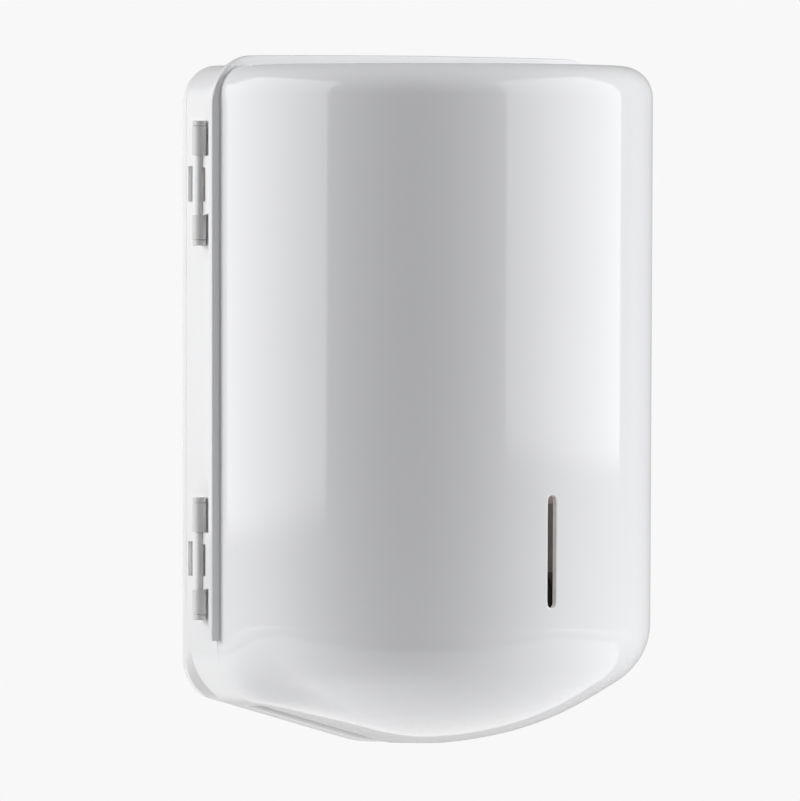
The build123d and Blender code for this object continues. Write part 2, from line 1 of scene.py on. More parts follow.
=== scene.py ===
import bpy
import bmesh
import json
import math
import numpy as np
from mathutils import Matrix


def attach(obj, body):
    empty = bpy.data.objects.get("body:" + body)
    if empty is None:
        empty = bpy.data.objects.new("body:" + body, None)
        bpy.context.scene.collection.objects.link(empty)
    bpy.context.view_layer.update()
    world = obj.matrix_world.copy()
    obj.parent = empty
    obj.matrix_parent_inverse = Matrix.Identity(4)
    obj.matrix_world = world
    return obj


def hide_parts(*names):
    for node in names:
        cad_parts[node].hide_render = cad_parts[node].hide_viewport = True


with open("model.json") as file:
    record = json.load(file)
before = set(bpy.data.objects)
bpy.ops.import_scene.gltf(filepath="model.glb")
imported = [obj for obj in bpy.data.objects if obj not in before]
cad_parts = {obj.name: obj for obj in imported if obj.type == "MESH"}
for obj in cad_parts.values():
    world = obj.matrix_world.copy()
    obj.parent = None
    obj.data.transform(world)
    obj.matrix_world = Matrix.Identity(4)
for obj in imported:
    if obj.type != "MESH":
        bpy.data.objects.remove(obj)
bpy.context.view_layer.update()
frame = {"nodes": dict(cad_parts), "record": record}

mm = 0.001  # shapes are worked out in millimetres
roundSteps = np.radians((30, 60, 90))  # angles of the rings that turn a hole's edge in over a quarter circle

# the outline that housing, rim and cover share: a rounded V below, upright sides and round upper corners
body = dict(half=139.0, top=200.0, low=-205.0, slope=0.25, chin=95.0, corner=38.0, upper=24.0,
            wall=3.0, rear=-3.5, front=-36.5, edge=0.5, arcSteps=14, straightSteps=7, sideSteps=13, flatSteps=9)

# one row for each finish; drift is the scale of the slow noise, grain of the fine one
finishRows = {
    "gloss_white": dict(color=(0.862, 0.866, 0.882), rough=0.07, drift=9.0, spread=0.006, roughSpread=0.015,
                        bump=0.004, grain=700.0),
    "housing_white": dict(color=(0.856, 0.858, 0.868), rough=0.22, drift=14.0, spread=0.01),
    "hinge_grey": dict(color=(0.71, 0.71, 0.705), rough=0.38, drift=80.0, bump=0.04),
    "bright_zinc": dict(color=(0.80, 0.80, 0.79), rough=0.12, metal=1.0, drift=120.0),
    "plated_steel": dict(color=(0.62, 0.62, 0.63), rough=0.28, metal=1.0, drift=160.0, stretch=(0.2, 1, 1)),
    "screw_steel": dict(color=(0.58, 0.58, 0.57), rough=0.32, metal=1.0, drift=240.0),
    "spring_steel": dict(color=(0.40, 0.40, 0.42), rough=0.30, metal=1.0, drift=300.0),
    "blade_steel": dict(color=(0.70, 0.71, 0.72), rough=0.25, metal=1.0, drift=90.0, stretch=(0.1, 1, 1)),
    "grey_moulding": dict(color=(0.12, 0.125, 0.13), rough=0.5, drift=70.0, spread=0.12, bump=0.15),
    "natural_acetal": dict(color=(0.74, 0.72, 0.64), rough=0.35, bump=0.04),
    "roller_rubber": dict(color=(0.02, 0.02, 0.021), rough=0.75, drift=200.0, spread=0.3, bump=0.3),
    "lever_metal": dict(color=(0.62, 0.62, 0.61), rough=0.35, drift=120.0, bump=0.15, grain=1600.0),
    "grip_plastic": dict(color=(0.022, 0.024, 0.027), rough=0.32, drift=80.0, spread=0.15, bump=0.08),
}
grainDepth = 0.0002  # height of the finest relief, in metres


# A node with the values of its unlinked sockets.
def addNode(tree, kind, sockets=()):
    node = tree.nodes.new("ShaderNode" + kind)
    for socket, value in dict(sockets).items():
        node.inputs[socket].default_value = value
    return node


# A finish on Object coordinates. A slow noise moves the colour down by at most its spread and the roughness by
# half its spread to either side, and a fine noise is the height of a small bump.
def makeFinish(name, color, rough, metal=0.0, drift=60.0, spread=0.02, roughSpread=0.04, bump=0.02, grain=900.0,
               stretch=(1, 1, 1)):
    mat = bpy.data.materials.new(name)
    mat.use_nodes = True
    tree = mat.node_tree
    shader = tree.nodes["Principled BSDF"]
    shader.inputs["Metallic"].default_value = metal
    shader.inputs["IOR"].default_value = 1.5
    place = addNode(tree, "TexCoord")
    turn = addNode(tree, "Mapping", {"Scale": stretch})
    slow = addNode(tree, "TexNoise", {"Scale": drift, "Detail": 3})
    fine = addNode(tree, "TexNoise", {"Scale": grain})
    shade = addNode(tree, "ValToRGB")
    low, high = shade.color_ramp.elements
    low.position, high.position = 0.3, 0.7
    low.color = [c * (1 - spread) for c in color] + [1]
    high.color = [*color, 1]
    least, most = rough - roughSpread / 2, rough + roughSpread / 2
    span = addNode(tree, "MapRange", {"To Min": least, "To Max": most})
    relief = addNode(tree, "Bump", {"Strength": bump, "Distance": grainDepth})
    for source, target in ((place.outputs["Object"], turn.inputs["Vector"]),
                           (turn.outputs["Vector"], slow.inputs["Vector"]),
                           (turn.outputs["Vector"], fine.inputs["Vector"]),
                           (slow.outputs["Fac"], shade.inputs["Fac"]),
                           (slow.outputs["Fac"], span.inputs["Value"]),
                           (fine.outputs["Fac"], relief.inputs["Height"]),
                           (shade.outputs["Color"], shader.inputs["Base Color"]),
                           (span.outputs["Result"], shader.inputs["Roughness"]),
                           (relief.outputs["Normal"], shader.inputs["Normal"])):
        tree.links.new(source, target)
    return mat


print("finishes")
finishes = {name: makeFinish(name, **row) for name, row in finishRows.items()}


weld = dict(doubles=2e-6, slivers=1e-7)  # in metres


# Points in millimetres, lists of four-sided faces and end caps become one piece that rides on a body and has its
# finish. Edges that turn by more than the smooth angle, in degrees, stay hard.
def makeObject(name, points, quads, caps, bodyName, slotName, smooth=35.0):
    mesh = bpy.data.meshes.new(name)
    faces = np.concatenate(quads).tolist() + [cap.tolist() for cap in caps]
    mesh.from_pydata((points * mm).tolist(), [], faces)
    work = bmesh.new()
    work.from_mesh(mesh)
    bmesh.ops.remove_doubles(work, verts=work.verts, dist=weld["doubles"])
    bmesh.ops.dissolve_degenerate(work, edges=work.edges, dist=weld["slivers"])
    bmesh.ops.recalc_face_normals(work, faces=work.faces)
    work.to_mesh(mesh)
    work.free()
    mesh.shade_smooth()
    mesh.set_sharp_from_angle(angle=math.radians(smooth))
    mesh.materials.append(finishes[slotName])
    piece = bpy.data.objects.new(name, mesh)
    bpy.context.scene.collection.objects.link(piece)
    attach(piece, bodyName)
    return piece


# Rounds the edges that turn by more than the angle, in degrees.
def addBevel(piece, width, segments=2, angle=40):
    bevel = piece.modifiers.new("edges", "BEVEL")
    bevel.width = width * mm
    bevel.segments = segments
    bevel.limit_method = "ANGLE"
    bevel.angle_limit = math.radians(angle)
    bevel.harden_normals = True


# Values that run through the stops with a given number of equal steps between each two.
def stepped(stops, counts):
    runs = [np.linspace(a, b, count + 1)[1:] for a, b, count in zip(stops[:-1], stops[1:], counts)]
    return np.concatenate([[stops[0]], *runs])


# The number of the value nearest to a target.
def nearest(values, target):
    return int(np.argmin(abs(values - target)))


# Four-sided faces between two runs of vertex numbers, which are closed rings or open runs.
def band(first, second, closed=True):
    faces = np.column_stack([first, np.roll(first, -1), np.roll(second, -1), second])
    return faces if closed else faces[:-1]


# A closed section carried along a path: the grid's rows are the path's stations and its columns the section's
# points. Faces join each station to the next, and the first and last stations are capped.
def makeCarried(name, grid, bodyName, slotName, smooth=35.0):
    number = np.arange(grid.shape[0] * grid.shape[1]).reshape(grid.shape[:2])
    beside = np.roll(number, -1, axis=1)
    sides = np.stack([number[:-1], number[1:], beside[1:], beside[:-1]], axis=2).reshape(-1, 4)
    return makeObject(name, grid.reshape(-1, 3), [sides], [number[0], number[-1, ::-1]], bodyName, slotName, smooth)


# A plan loop in x and y carried straight up from one height to another.
def makeUpright(name, loop, z0, z1, bodyName, slotName):
    level = np.ones(len(loop))
    grid = np.stack([np.column_stack([loop, z0 * level]), np.column_stack([loop, z1 * level])])
    return makeCarried(name, grid, bodyName, slotName)


# A wall with thickness: an outer and an inner grid of points, joined at each window's edge. A window is a block of
# cells left out, with rings of points on either skin that lead from its edge to the hole.
def wallFaces(outer, inner, windows, closed):
    n, m = outer.shape[:2]
    number = np.arange(2 * n * m).reshape(2, n, m)
    points = [outer.reshape(-1, 3), inner.reshape(-1, 3)]
    total = number.size
    keep = np.ones((n if closed else n - 1, m - 1), bool)
    quads = []
    for window in windows:
        i0, i1, j0, j1 = window["cells"]
        keep[i0:i1, j0:j1] = False
        edgeI, edgeJ = rectRing(np.arange(i0, i1 + 1), np.arange(j0, j1 + 1)).T
        ends = []
        for side, rings in enumerate(window.get("rings", ((), ()))):
            last = number[side, edgeI % n, edgeJ]
            for ring in rings:
                points.append(ring)
                fresh = np.arange(total, total + len(ring))
                total += len(ring)
                quads.append(band(last, fresh))
                last = fresh
            ends.append(last)
        quads.append(band(*ends))
    i, j = np.nonzero(keep)
    k = (i + 1) % n
    quads += [np.column_stack([grid[i, j], grid[k, j], grid[k, j + 1], grid[i, j + 1]]) for grid in number]
    return np.concatenate(points), quads, number


# The points round a rectangle whose sides are cut at us and vs: along its low side, up, back and down.
def rectRing(us, vs):
    across, up = len(us) - 1, len(vs) - 1
    u = np.concatenate([us[:-1], np.repeat(us[-1], up), us[:0:-1], np.repeat(us[0], up)])
    v = np.concatenate([np.repeat(vs[0], across), vs[:-1], np.repeat(vs[-1], across), vs[:0:-1]])
    return np.column_stack([u, v])


# Each point of a rectangle's edge goes to the outline of a slot with round ends: its offset from the nearest point
# of the slot's middle line is brought to the slot's half width.
def slotRing(ring, centre, halfU, halfV):
    seat = np.column_stack([np.zeros(len(ring)), np.clip(ring[:, 1] - centre[1], halfU - halfV, halfV - halfU)])
    offset = ring - centre - seat
    return centre + seat + halfU * offset / np.hypot(*offset.T)[:, None]


# An arc in x and z with its outward normal: centre plus radius times cosine and sine of each angle.
def arcRows(cx, cz, radius, angles):
    nx, nz = np.cos(angles), np.sin(angles)
    return np.column_stack([cx + radius * nx, cz + radius * nz, nx, nz])


# The front outline from the bottom centre up the right side to the top centre, as x, z and the outward normal. The
# chin's arc, the V's straight, the lower corner's arc, the side, the upper corner's arc and the flat top follow
# each other, each tangent to the last. Stops are places kept on the straight, and breaks heights kept on the side.
def outlineAt(spec, steps=body["arcSteps"], stops=(), breaks=()):
    lean = math.atan(spec["slope"])
    chin, corner, upper = spec["chin"], spec["corner"], spec["upper"]
    quarter = math.pi / 2
    cx = spec["half"] - corner
    cz = spec["low"] - chin * (1 / math.cos(lean) - 1) + spec["slope"] * cx + corner / math.cos(lean)
    chinArc = arcRows(0.0, spec["low"] + chin, chin, np.linspace(0, lean, steps) - quarter)
    cornerArc = arcRows(cx, cz, corner, np.linspace(lean, quarter, 2 * steps) - quarter)
    (x0, z0), (x1, z1) = chinArc[-1, :2], cornerArc[0, :2]
    x = np.sort(np.append(np.linspace(x0, x1, spec["straightSteps"] + 1)[1:-1], stops))
    straight = np.column_stack([x, z0 + (z1 - z0) * (x - x0) / (x1 - x0), np.full(len(x), math.sin(lean)),
                                np.full(len(x), -math.cos(lean))])
    shoulder = spec["top"] - upper
    z = np.unique(np.append(np.linspace(cz, shoulder, spec["sideSteps"] + 1)[1:-1], breaks))
    side = np.column_stack([np.full(len(z), spec["half"]), z, np.ones(len(z)), np.zeros(len(z))])
    upperArc = arcRows(spec["half"] - upper, shoulder, upper, np.linspace(0, quarter, 2 * steps))
    x = np.linspace(spec["half"] - upper, 0, spec["flatSteps"] + 1)[1:]
    flat = np.column_stack([x, np.full(len(x), spec["top"]), np.zeros(len(x)), np.ones(len(x))])
    return np.concatenate([chinArc, straight, cornerArc, side, upperArc, flat])


cover = dict(low=-206.0, top=200.0, rear=-37.0, face=-39.0, lowRun=10.4, topRun=13.4, nose=134.49, rise=71.0,
             fillet=19.0, wall=3.0, frontSlope=0.56, frontChin=192.0, frontCorner=40.0, blend=52.0,
             sideCells=3, frontCells=61, bowlRows=40, wallRows=(2, 16, 10, 8, 12), crownRows=13, flatRows=4)
slit = dict(width=5.6, low=-123.2, high=-56.6, frameX=8.0, frameZ=6.0, cells=3, soft=0.7,
            shares=(0.35, 0.65, 0.85, 1.0))
lock = dict(y=-52.0, z=40.0, radius=7.6, stretch=0.01, frame=11.0, cells=4, soft=0.5, shares=(0.4, 0.8, 1.0))


# Half width of a rounded V at heights above its lowest point: a circle of the chin, the leaning straight, a circle
# of the corner and the upright side, each tangent to the last.
def halfWidthAt(height, slope, chin, corner):
    lean = math.atan(slope)
    drop = chin * (1 / math.cos(lean) - 1)
    cx = body["half"] - corner
    cz = slope * cx - drop + corner / math.cos(lean)
    arc = np.sqrt(np.maximum(2 * chin * height - height ** 2, 0))
    bend = cx + np.sqrt(np.maximum(corner ** 2 - (cz - height) ** 2, 0))
    return np.select([height <= chin * (1 - math.cos(lean)), height <= cz - corner * math.cos(lean), height < cz],
                     [arc, (height + drop) / slope, bend], body["half"])


# Length of the cover's straight side: it grows in proportion to the height, and down the bowl it shrinks as a
# quarter of an ellipse.
def runAt(height):
    fall = np.maximum(0.0, 1 - height / cover["rise"])
    above = np.maximum(0.0, height - cover["rise"]) / (cover["top"] - cover["low"] - cover["rise"])
    return (cover["lowRun"] + (cover["topRun"] - cover["lowRun"]) * above) * np.sqrt(1 - fall ** 2)


# One skin of the cover as a function of height and angle. At each height the plan is a straight side, then half an
# ellipse: x is the half width times the cosine of the angle, and y is the straight's end less the reach times the
# sine. The half width blends by a smooth step from the rim's outline to a rounder one further forward. Down the
# bowl the reach is a quarter of an ellipse. The crown turns in along the plan's normal over a quarter circle and
# then runs flat to the rear. The left half mirrors the right.
def coverGrid(inset, angles, heights):
    fall = np.maximum(0.0, 1 - heights / cover["rise"])
    nose = cover["nose"] * np.sqrt(1 - fall ** 2) - inset * (1 - fall)
    yFront = cover["face"] - runAt(heights)
    side = np.linspace(0, 1, cover["sideCells"], endpoint=False)
    y = np.concatenate([cover["rear"] + (yFront - cover["rear"])[:, None] * side,
                        yFront[:, None] - nose[:, None] * np.sin(angles)], axis=1)
    past = np.clip((cover["rear"] - y) / cover["blend"], 0, 1)
    past = past * past * (3 - 2 * past)
    wide = halfWidthAt(heights, body["slope"], body["chin"], body["corner"])[:, None]
    tight = halfWidthAt(heights, cover["frontSlope"], cover["frontChin"], cover["frontCorner"])[:, None]
    half = np.maximum(wide + (tight - wide) * past - inset, 0)
    z = np.maximum(cover["low"] + heights, body["low"]) + inset * fall
    x = half * np.append(np.ones(len(side)), np.cos(angles))
    skin = np.stack(np.broadcast_arrays(x, y, z[:, None]), axis=2)
    nx = np.append(np.ones(len(side)), np.cos(angles) / half[-1, -1])
    ny = np.append(np.zeros(len(side)), -np.sin(angles) / nose[-1])
    nx, ny = nx / np.hypot(nx, ny), ny / np.hypot(nx, ny)
    radius = cover["fillet"] - inset
    roll = np.linspace(0, math.pi / 2, cover["crownRows"] + 1)[1:, None]
    off = radius * (1 - np.cos(roll))
    x, y, z = skin[-1].T
    crown = np.stack([x - nx * off, y - ny * off, z + radius * np.sin(roll)], axis=2)
    flat = np.repeat(crown[-1:], cover["flatRows"], axis=0)
    flat[:, :, 1] += (cover["rear"] - flat[:, :, 1]) * np.linspace(0, 1, cover["flatRows"] + 1)[1:, None]
    right = np.concatenate([skin, crown, flat])
    return np.concatenate([right, right[:, -2::-1] * [-1, 1, 1]], axis=1).transpose(1, 0, 2)


# Points of the cover's upright wall. On the right side they are given by y and z, and x follows from the ellipse;
# at the front they are given by x and z, and y follows.
def skinAt(flat, inset, onSide):
    u, z = flat.T
    nose = cover["nose"] - inset
    front = cover["face"] - runAt(z - cover["low"])
    half = body["half"] - inset
    if onSide:
        past = np.clip((front - u) / nose, 0, 1)
        return np.column_stack([half * np.sqrt(1 - past ** 2), u, z])
    return np.column_stack([u, front - nose * np.sqrt(1 - (u / half) ** 2), z])


# Rings on both skins from a window's edge to the outline of its hole, each a share of the way. On the outer skin
# the hole's edge then turns in over a quarter circle.
def holeRings(us, zs, centre, halfU, halfV, shares, onSide, soft):
    ring = rectRing(us, zs)
    rings = []
    for inset, grow in ((0.0, soft), (cover["wall"], 0.0)):
        goal = slotRing(ring, centre, halfU + grow, halfV + grow)
        rings.append([skinAt(ring + (goal - ring) * share, inset, onSide) for share in shares])
    for angle in roundSteps:
        grow = soft * (1 - math.sin(angle))
        edge = slotRing(ring, centre, halfU + grow, halfV + grow)
        rings[0].append(skinAt(edge, soft * (1 - math.cos(angle)), onSide))
    return rings


# The cover is the outer skin and an inner one, a wall further in. Grid lines are kept at the edges of two windows,
# one for the sight slit at the front and one for the lock on the right side.
def makeCover():
    low, rise = cover["low"], cover["rise"]
    slitAngle = math.acos(slit["frameX"] / body["half"])
    lockFront = cover["face"] - runAt(lock["z"] - low)
    lockAngle = math.asin((lockFront - lock["y"] + lock["frame"]) / cover["nose"])
    angles = stepped((0, lockAngle, slitAngle, math.pi / 2), (lock["cells"], cover["frontCells"], slit["cells"]))
    stops = (rise, slit["low"] - slit["frameZ"] - low, slit["high"] + slit["frameZ"] - low,
             lock["z"] - lock["frame"] - low, lock["z"] + lock["frame"] - low, cover["top"] - cover["fillet"] - low)
    bowl = np.linspace(math.acos(1 - (body["low"] - low) / rise), math.pi / 2, cover["bowlRows"])
    heights = np.concatenate([[0.0], rise * (1 - np.cos(bowl)), stepped(stops, cover["wallRows"])[1:]])
    outer, inner = (coverGrid(inset, angles, heights) for inset in (0.0, cover["wall"]))
    rows = [nearest(heights, stop) for stop in stops]
    windows = []

    # the slit, whose window lies round the front's middle
    middle = cover["sideCells"] + len(angles) - 1
    i0, i1, j0, j1 = middle - slit["cells"], middle + slit["cells"], rows[1], rows[2]
    rings = holeRings(outer[i0:i1 + 1, j0, 0], heights[j0:j1 + 1] + low, (0.0, (slit["low"] + slit["high"]) / 2),
                      slit["width"] / 2, (slit["high"] - slit["low"]) / 2, slit["shares"], False, slit["soft"])
    windows.append(dict(cells=(i0, i1, j0, j1), rings=rings))

    # the lock, whose window starts one cell in from the right side's rear edge
    i0, i1, j0, j1 = 1, cover["sideCells"] + lock["cells"], rows[3], rows[4]
    rings = holeRings(outer[i0:i1 + 1, j0, 1], heights[j0:j1 + 1] + low, (lock["y"], lock["z"]), lock["radius"],
                      lock["radius"] + lock["stretch"], lock["shares"], True, lock["soft"])
    windows.append(dict(cells=(i0, i1, j0, j1), rings=rings))

    points, quads, number = wallFaces(outer, inner, windows, False)
    edges = (number[:, 0], number[:, -1], number[:, :, -1])
    quads += [band(*edge, closed=False) for edge in edges]
    return makeObject("cover_shell", points, quads, [], "cover", "gloss_white")


print("cover")
coverShell = makeCover()
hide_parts("front_cover")

rim = dict(half=144.5, top=206.5, corner=30.0, front=-39.0, web=-37.0, rear=-34.6, lap=4.7, inner=8.5, end=-143.2,
           endStep=0.5, round=1.0, chamfer=0.4, arch=0.9, archLow=120.0, archHigh=200.0, archHalf=115.0, steps=16)


# The rim is one section carried round the outline from end to end: a web at the front with a round edge, and a
# skirt behind it over the housing. Its top sinks with the square of the distance from the middle.
def makeRim():
    spec = dict(body, half=rim["half"], top=rim["top"], upper=rim["corner"])
    rows = outlineAt(spec, rim["steps"])
    right = np.vstack([(rim["half"], rim["end"], 1.0, 0.0), rows[rows[:, 1] > rim["end"] + rim["endStep"]]])
    x, z, nx, nz = np.vstack([right, right[-2::-1] * [-1, 1, -1, 1]]).T[:, :, None]
    turn = np.linspace(0, math.pi / 2, 5)
    edge = np.column_stack([1 - np.sin(turn), 1 - np.cos(turn)]) * rim["round"] + (0, rim["front"])
    inset, y = np.vstack([(rim["inner"], rim["front"]), edge, (0.0, rim["rear"] - rim["chamfer"]),
                          (rim["chamfer"], rim["rear"]), (rim["lap"], rim["rear"]), (rim["lap"], rim["web"]),
                          (rim["inner"], rim["web"])]).T
    grid = np.stack(np.broadcast_arrays(x - inset * nx, y, z - inset * nz), axis=2)
    high = np.clip((grid[:, :, 2] - rim["archLow"]) / (rim["archHigh"] - rim["archLow"]), 0, 1)
    grid[:, :, 2] -= rim["arch"] * (grid[:, :, 0] / rim["archHalf"]) ** 2 * high
    return makeCarried("cover_rim", grid, "cover", "gloss_white", 30)


print("rim")
makeRim()

# knuckle spans are counted inwards from the two ends of a hinge, and the arms' plan from its pin
hinge = dict(x=-143.5, y=-24.0, upper=(92.2, 166.6), lower=(-131.0, -57.8), lowSpan=(3.6, 18.2),
             highSpan=(20.6, 3.4), knuckle=4.2, knuckleArc=(90, 371), knuckleEdge=0.5, cap=4.0, capGap=0.5,
             capEdge=1.0, edgeSteps=3, root=0.6, barrel=2.4, bore=2.08, barrelArc=(0, 358), barrelGap=0.4,
             arm=7.0, armX=(0.8, 2.2), armY=(-1.95, -0.9))
leaf = dict(outer=0.1, inner=3.4, front=-35.1, rear=-31.6, armEnd=-32.0, edge=0.5)
slot = dict(upper=(118.6, 139.6), lower=(-104.6, -84.2), y=(-10.2, -6.0), gapY=(-23.2, -14.5), over=1.0,
            webOut=0.5, webIn=1.0)


# An arc in plan: centre plus radius times cosine and sine of angles from start to end, in degrees.
def arcPoints(cx, cy, radius, start, end, count=40):
    angles = np.radians(np.linspace(start, end, count))
    return np.column_stack([cx + radius * np.cos(angles), cy + radius * np.sin(angles)])


# The four corners of a rectangle in plan.
def boxLoop(x0, x1, y0, y1):
    return np.array([(x0, y0), (x1, y0), (x1, y1), (x0, y1)])


# Each hinge has two round knuckles with caps, whose plan is most of a circle and two corners in the housing's wall.
# On the cover a barrel, almost a full ring in plan, turns on the pin. Two thin arms join it to a leaf on the rim.
def makeHinge(label):
    x, y = hinge["x"], hinge["y"]
    low, high = hinge[label]
    lowSpan = tuple(low + step for step in hinge["lowSpan"])
    highSpan = tuple(high - step for step in hinge["highSpan"])
    caps = ((low, lowSpan[0] - hinge["capGap"]), (highSpan[1] + hinge["capGap"], high))
    root = -body["half"] + hinge["root"]
    for word, spans in (("knuckle", (lowSpan, highSpan)), ("cap", caps)):
        arc = arcPoints(x, y, hinge[word], *hinge["knuckleArc"])
        loop = np.vstack([arc, (root, arc[-1, 1]), (root, y + hinge[word])])
        for number, span in enumerate(spans):
            piece = makeUpright(f"hinge_{word}_{label}_{number}", loop, *span, "housing", "hinge_grey")
            addBevel(piece, hinge[word + "Edge"], hinge["edgeSteps"])
    z0, z1 = lowSpan[1] + hinge["barrelGap"], highSpan[0] - hinge["barrelGap"]
    start, end = hinge["barrelArc"]
    loop = np.vstack([arcPoints(x, y, hinge["barrel"], start, end), arcPoints(x, y, hinge["bore"], end, start)])
    makeUpright(f"hinge_barrel_{label}", loop, z0, z1, "cover", "hinge_grey")
    left, right = (x + step for step in hinge["armX"])
    loop = np.array([(left, y + hinge["armY"][0]), (left, leaf["armEnd"]), (right, leaf["armEnd"]),
                     (right, y + hinge["armY"][1])])
    for number, span in enumerate(((z0, z0 + hinge["arm"]), (z1 - hinge["arm"], z1))):
        makeUpright(f"hinge_arm_{label}_{number}", loop, *span, "cover", "gloss_white")
    loop = boxLoop(leaf["outer"] - rim["half"], leaf["inner"] - rim["half"], leaf["front"], leaf["rear"])
    addBevel(makeUpright(f"hinge_leaf_{label}", loop, z0, z1, "cover", "gloss_white"), leaf["edge"])


# A light web behind a moulding slot, a little larger than the slot all round.
def makeSlotWeb(label):
    x = body["wall"] - body["half"]
    front, rear = slot["y"]
    low, high = slot[label]
    over = slot["over"]
    loop = boxLoop(x - slot["webOut"], x + slot["webIn"], front - over, rear + over)
    makeUpright(f"slot_web_{label}", loop, low - over, high + over, "housing", "housing_white")


print("hinges")
for label in ("upper", "lower"):
    makeHinge(label)
for label in ("upper", "lower"):
    makeSlotWeb(label)

ramp = dict(plateCorner=25.0, depth=5.5, sink=0.4, gap=0.02)


# Beside each lower corner the housing runs out to the back plate's tighter corner over a ramp. Its section is a
# triangle, with one corner on the plate's outline and two just inside the housing's, at the same angle.
def makeRamp(label, sign):
    # the lower corner's arc and one point more at either end
    start = body["arcSteps"] + body["straightSteps"] - 2
    keep = slice(start, start + 2 * body["arcSteps"] + 2)
    wide = outlineAt(dict(body, corner=ramp["plateCorner"]))[keep]
    tight = outlineAt(body)[keep]
    inner = tight[:, :2] - ramp["sink"] * tight[:, 2:]
    rear, front = body["rear"] - ramp["gap"], body["rear"] - ramp["depth"]
    level = np.ones(len(tight))
    grid = np.stack([np.column_stack([sign * line[:, 0], y * level, line[:, 1]])
                     for line, y in ((wide, rear), (inner, front), (inner, rear))], axis=1)
    makeCarried(f"corner_ramp_{label}", grid, "housing", "housing_white")


print("corner ramps")
makeRamp("left", -1)
makeRamp("right", 1)

exitHole = dict(half=102.0, front=-30.0, rear=-12.5, soft=3.0, softRun=1.0)
lever = dict(y=-24.452, z=-101.968, bore=7.0, stretch=0.01, frameY=8.0, frameZ=9.0, shares=(0.5, 1.0))


# The housing is the outline carried straight from the back plate to the cover, with an inner skin one wall further
# in along the normal. The towel's exit, the hinge slots and gaps and the lever's bore are cut out.
def makeHousing():
    leverLow, leverHigh = lever["z"] - lever["frameZ"], lever["z"] + lever["frameZ"]
    rows = outlineAt(body, stops=(exitHole["half"],), breaks=(leverLow, leverHigh, *slot["upper"], *slot["lower"]))
    # both sides as one closed ring that starts at the top centre, goes down the left and comes up the right
    ring = np.concatenate([rows[:0:-1] * [-1, 1, -1, 1], rows[:-1]])
    n, bottom = len(ring), len(rows) - 1
    ys = np.unique([body["rear"], body["front"], *slot["y"], *slot["gapY"], exitHole["front"], exitHole["rear"],
                    lever["y"] - lever["frameY"], lever["y"] + lever["frameY"]])[::-1]
    x, z, nx, nz = ring.T[:, :, None]
    outer, inner = (np.stack(np.broadcast_arrays(x - off * nx, ys, z - off * nz), axis=2)
                    for off in (0.0, body["wall"]))
    windows = []

    # the exit spans the bottom centre, and its rear edge is a quarter round
    soft, half = exitHole["soft"], nearest(rows[:body["arcSteps"] + body["straightSteps"], 0], exitHole["half"])
    i0, i1 = bottom - half, bottom + half
    j0, j1 = nearest(ys, exitHole["rear"]), nearest(ys, exitHole["front"])
    outer[i0:i1 + 1, j0, 1] = exitHole["rear"] + soft
    outer[i0:i1 + 1, j0 - 1, 1] = exitHole["rear"] + soft + exitHole["softRun"]
    edgeI, edgeJ = rectRing(np.arange(i0, i1 + 1), np.arange(j0, j1 + 1)).T
    rings = []
    for angle in roundSteps:
        turned = outer[edgeI, edgeJ]
        turned[:i1 - i0 + 1] -= np.column_stack([ring[i0:i1 + 1, 2] * (1 - math.cos(angle)),
                                                 np.full(i1 - i0 + 1, math.sin(angle)),
                                                 ring[i0:i1 + 1, 3] * (1 - math.cos(angle))]) * soft
        rings.append(turned)
    windows.append(dict(cells=(i0, i1, j0, j1), rings=(rings, ())))

    # on the left each hinge has a moulding slot behind it and a gap beside its barrel
    left, right = ring[:bottom], ring[bottom:]
    onLeft = np.where(left[:, 0] == -body["half"], left[:, 1], np.inf)
    for label in ("upper", "lower"):
        i1, i0 = (nearest(onLeft, height) for height in slot[label])
        for front, rear in (slot["y"], slot["gapY"]):
            windows.append(dict(cells=(i0, i1, nearest(ys, rear), nearest(ys, front))))

    # the lever's bore on the right
    onRight = np.where(right[:, 0] == body["half"], right[:, 1], np.inf)
    i0, i1 = (bottom + nearest(onRight, height) for height in (leverLow, leverHigh))
    j0, j1 = (nearest(ys, lever["y"] + step) for step in (lever["frameY"], -lever["frameY"]))
    edge = rectRing(ring[i0:i1 + 1, 1], ys[j0:j1 + 1])
    goal = slotRing(edge, (lever["z"], lever["y"]), lever["bore"], lever["bore"] + lever["stretch"])
    flats = [edge + (goal - edge) * share for share in lever["shares"]]
    rings = [[np.column_stack([np.full(len(flat), body["half"] - off), flat[:, 1], flat[:, 0]]) for flat in flats]
             for off in (0.0, body["wall"])]
    windows.append(dict(cells=(i0, i1, j0, j1), rings=rings))

    points, quads, number = wallFaces(outer, inner, windows, True)
    quads += [band(*number[:, :, j]) for j in (0, -1)]
    piece = makeObject("housing_shell", points, quads, [], "housing", "housing_white")
    addBevel(piece, body["edge"])
    return piece


print("housing")
housing = makeHousing()
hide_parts("rear_frame")


# Every material slot of a piece gets the finish.
def dress(piece, mat):
    materials = piece.data.materials
    if not materials:
        materials.append(mat)
    for k in range(len(materials)):
        materials[k] = mat


print("finishes of the carried-over parts")
slotOf = {row["node"]: row["material_slot"] for row in frame["record"]["subparts"]}
for name, node in frame["nodes"].items():
    dress(node, finishes[slotOf[name]])

# sizes in metres; the glow share is for the camera, the dim colour for light that the floor throws back
ground = dict(half=2.6, z=-0.33, glowShare=0.6, dim=(0.12, 0.12, 0.12, 1),
              finish=dict(color=(0.86, 0.86, 0.86), rough=0.9, drift=3.0, spread=0.01, bump=0.0))


# A mix of two shader outputs by a factor output.
def mixed(tree, factor, first, second):
    mix = addNode(tree, "MixShader")
    for source, socket in zip((factor, first, second), mix.inputs):
        tree.links.new(source, socket)
    return mix.outputs["Shader"]


